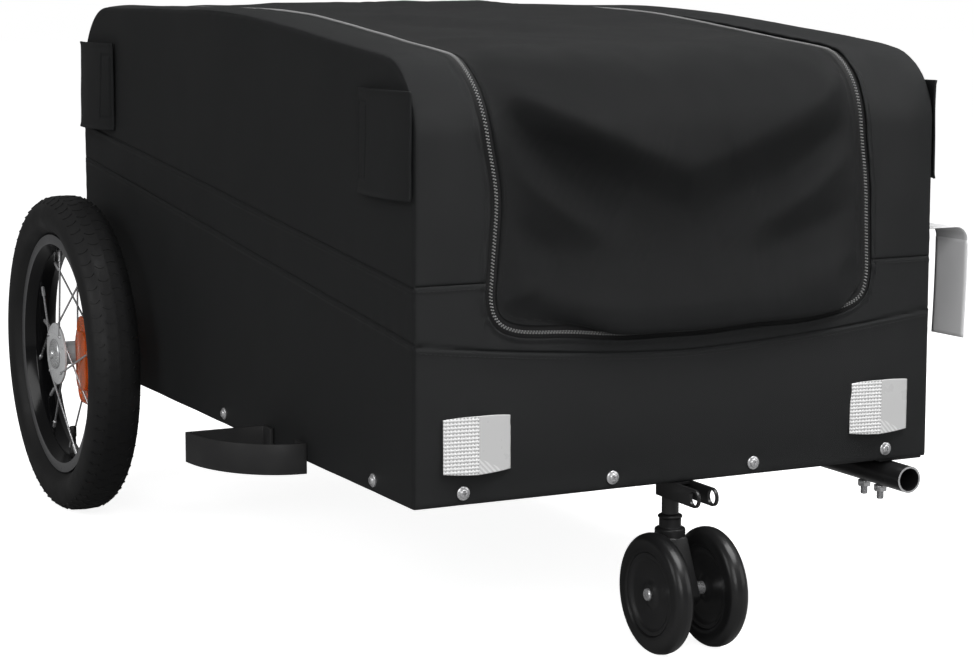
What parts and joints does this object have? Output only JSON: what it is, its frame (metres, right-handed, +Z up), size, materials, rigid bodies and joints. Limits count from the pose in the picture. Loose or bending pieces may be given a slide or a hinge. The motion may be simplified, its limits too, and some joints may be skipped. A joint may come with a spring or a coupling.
{
  "type": "bicycle trailer",
  "caption": "Cargo trailer for a bicycle: fabric box with a zip-off cover on a steel frame, quick-release spoked wheels and a twin-wheel swivel caster at the front.",
  "frame": {"origin": "on the ground under the middle of the bounding box", "axes": "+Y towards the trailer's rear, -Y towards the bicycle, +X towards the trailer's own left side, +Z up"},
  "size_m": [0.6106, 0.924, 0.5039],
  "materials": {
    "black_powder_coat": "satin black powder coat",
    "floor_board": "matt black sheet",
    "charcoal_fabric": "coated woven polyester",
    "cover_fabric": "thinner woven polyester with a soft sheen",
    "reflective_patch": "silver reflective sheeting",
    "label": "white satin ribbon and card, blank",
    "zip_metal": "satin zinc",
    "tyre_rubber": "black tyre rubber",
    "bright_aluminium": "polished",
    "amber_lens": "translucent orange moulding",
    "chromed_steel": "bright chrome",
    "zinc_steel": "zinc plated",
    "guard": "matt black strip",
    "black_plastic": "moulded black plastic",
    "caster_rubber": "smooth glossy black tread"
  },
  "bodies": {
    "frame": {"rail_right_hand": "black_powder_coat", "rail_left_hand": "black_powder_coat", "rail_front": "black_powder_coat", "rail_rear": "black_powder_coat", "beam_axle": "black_powder_coat", "beam_tow": "black_powder_coat", "floor_board": "floor_board", "arch_right_hand": "black_powder_coat", "arch_left_hand": "black_powder_coat", "top_bar_front": "black_powder_coat", "top_bar_rear": "black_powder_coat", "bag_right_hand": "charcoal_fabric", "bag_left_hand": "charcoal_fabric", "bag_front": "charcoal_fabric", "bag_rear": "charcoal_fabric", "band_right_hand": "charcoal_fabric", "band_left_hand": "charcoal_fabric", "patch_front_right_hand": "reflective_patch", "patch_front_left_hand": "reflective_patch", "patch_rear_right_hand": "reflective_patch", "patch_rear_left_hand": "reflective_patch", "hang_tag": "label", "zip_slider": "zip_metal", "axle_plate_right_hand": "black_powder_coat", "axle_plate_left_hand": "black_powder_coat", "wheel_guard_right_hand": "guard", "wheel_guard_left_hand": "guard", "tow_tube": "black_powder_coat", "tow_plate": "black_powder_coat", "tow_nut_front": "zinc_steel", "tow_nut_rear": "zinc_steel", "tow_saddle": "black_powder_coat", "caster_bracket": "black_powder_coat", "caster_stem": "black_powder_coat"},
    "cover_rear_part": {"cover_top": "cover_fabric"},
    "cover_front_part": {"cover_front": "cover_fabric"},
    "corner_flap_front_right_hand": {"flap_front_right_hand": "charcoal_fabric"},
    "corner_flap_front_left_hand": {"flap_front_left_hand": "charcoal_fabric"},
    "corner_flap_rear_right_hand": {"flap_rear_right_hand": "charcoal_fabric"},
    "corner_flap_rear_left_hand": {"flap_rear_left_hand": "charcoal_fabric"},
    "zip_tab": {"zip_pull": "zip_metal"},
    "axle_right_hand": {"axle_pin_right_hand": "chromed_steel"},
    "axle_left_hand": {"axle_pin_left_hand": "chromed_steel"},
    "button_right_hand": {"release_button_right_hand": "zinc_steel"},
    "button_left_hand": {"release_button_left_hand": "zinc_steel"},
    "wheel_right_hand": {"tyre_right_hand": "tyre_rubber", "rim_right_hand": "bright_aluminium", "hub_and_spokes_right_hand": "bright_aluminium", "spoke_reflector_right_hand": "amber_lens"},
    "wheel_left_hand": {"tyre_left_hand": "tyre_rubber", "rim_left_hand": "bright_aluminium", "hub_and_spokes_left_hand": "bright_aluminium", "spoke_reflector_left_hand": "amber_lens"},
    "caster_swivel_body": {"caster_fork": "black_plastic", "caster_axle": "zinc_steel"},
    "caster_wheel_right_hand": {"caster_disc_right_hand": "black_plastic", "caster_tyre_right_hand": "caster_rubber"},
    "caster_wheel_left_hand": {"caster_disc_left_hand": "black_plastic", "caster_tyre_left_hand": "caster_rubber"}
  },
  "joints": [
    {"name": "cover_lift", "type": "hinge", "parent": "frame", "child": "cover_rear_part", "pos_m": [0, 0.30115, 0.4995], "axis": [-1, 0, 0], "range_deg": [0, 160]},
    {"name": "front_flap_fold", "type": "hinge", "parent": "cover_rear_part", "child": "cover_front_part", "pos_m": [0, -0.35942, 0.47022], "axis": [-1, 0, 0], "range_deg": [0, 170]},
    {"name": "flap_front_right_hand_open", "type": "hinge", "parent": "frame", "child": "corner_flap_front_right_hand", "pos_m": [-0.23392, -0.41325, 0.40325], "axis": [0, 0, 1], "range_deg": [0, 150]},
    {"name": "flap_front_left_hand_open", "type": "hinge", "parent": "frame", "child": "corner_flap_front_left_hand", "pos_m": [0.23392, -0.41325, 0.40325], "axis": [0, 0, -1], "range_deg": [0, 150]},
    {"name": "flap_rear_right_hand_open", "type": "hinge", "parent": "frame", "child": "corner_flap_rear_right_hand", "pos_m": [-0.23383, 0.37615, 0.4205], "axis": [0, 0, -1], "range_deg": [0, 150]},
    {"name": "flap_rear_left_hand_open", "type": "hinge", "parent": "frame", "child": "corner_flap_rear_left_hand", "pos_m": [0.23383, 0.37615, 0.4205], "axis": [0, 0, 1], "range_deg": [0, 150]},
    {"name": "zip_tab_swing", "type": "hinge", "parent": "frame", "child": "zip_tab", "pos_m": [0.165, 0.27615, 0.50155], "axis": [-1, 0, 0], "range_deg": [0, 160]},
    {"name": "axle_release_right_hand", "type": "slide", "parent": "frame", "child": "axle_right_hand", "axis": [-1, 0, 0], "range_m": [0, 0.06]},
    {"name": "axle_release_left_hand", "type": "slide", "parent": "frame", "child": "axle_left_hand", "axis": [1, 0, 0], "range_m": [0, 0.06]},
    {"name": "button_push_right_hand", "type": "slide", "parent": "axle_right_hand", "child": "button_right_hand", "axis": [1, 0, 0], "range_m": [0, 0.003], "stiffness_N_per_m": 300},
    {"name": "button_push_left_hand", "type": "slide", "parent": "axle_left_hand", "child": "button_left_hand", "axis": [-1, 0, 0], "range_m": [0, 0.003], "stiffness_N_per_m": 300},
    {"name": "wheel_spin_right_hand", "type": "hinge", "parent": "axle_right_hand", "child": "wheel_right_hand", "pos_m": [-0.2735, 0.30495, 0.157], "axis": [1, 0, 0], "continuous": true},
    {"name": "wheel_spin_left_hand", "type": "hinge", "parent": "axle_left_hand", "child": "wheel_left_hand", "pos_m": [0.2735, 0.30495, 0.157], "axis": [1, 0, 0], "continuous": true},
    {"name": "caster_swivel", "type": "hinge", "parent": "frame", "child": "caster_swivel_body", "pos_m": [0, -0.39315, 0.048], "axis": [0, 0, 1], "continuous": true},
    {"name": "caster_spin_right_hand", "type": "hinge", "parent": "caster_swivel_body", "child": "caster_wheel_right_hand", "pos_m": [-0.0247, -0.41395, 0.048], "axis": [1, 0, 0], "continuous": true},
    {"name": "caster_spin_left_hand", "type": "hinge", "parent": "caster_swivel_body", "child": "caster_wheel_left_hand", "pos_m": [0.0247, -0.41395, 0.048], "axis": [1, 0, 0], "continuous": true}
  ]
}
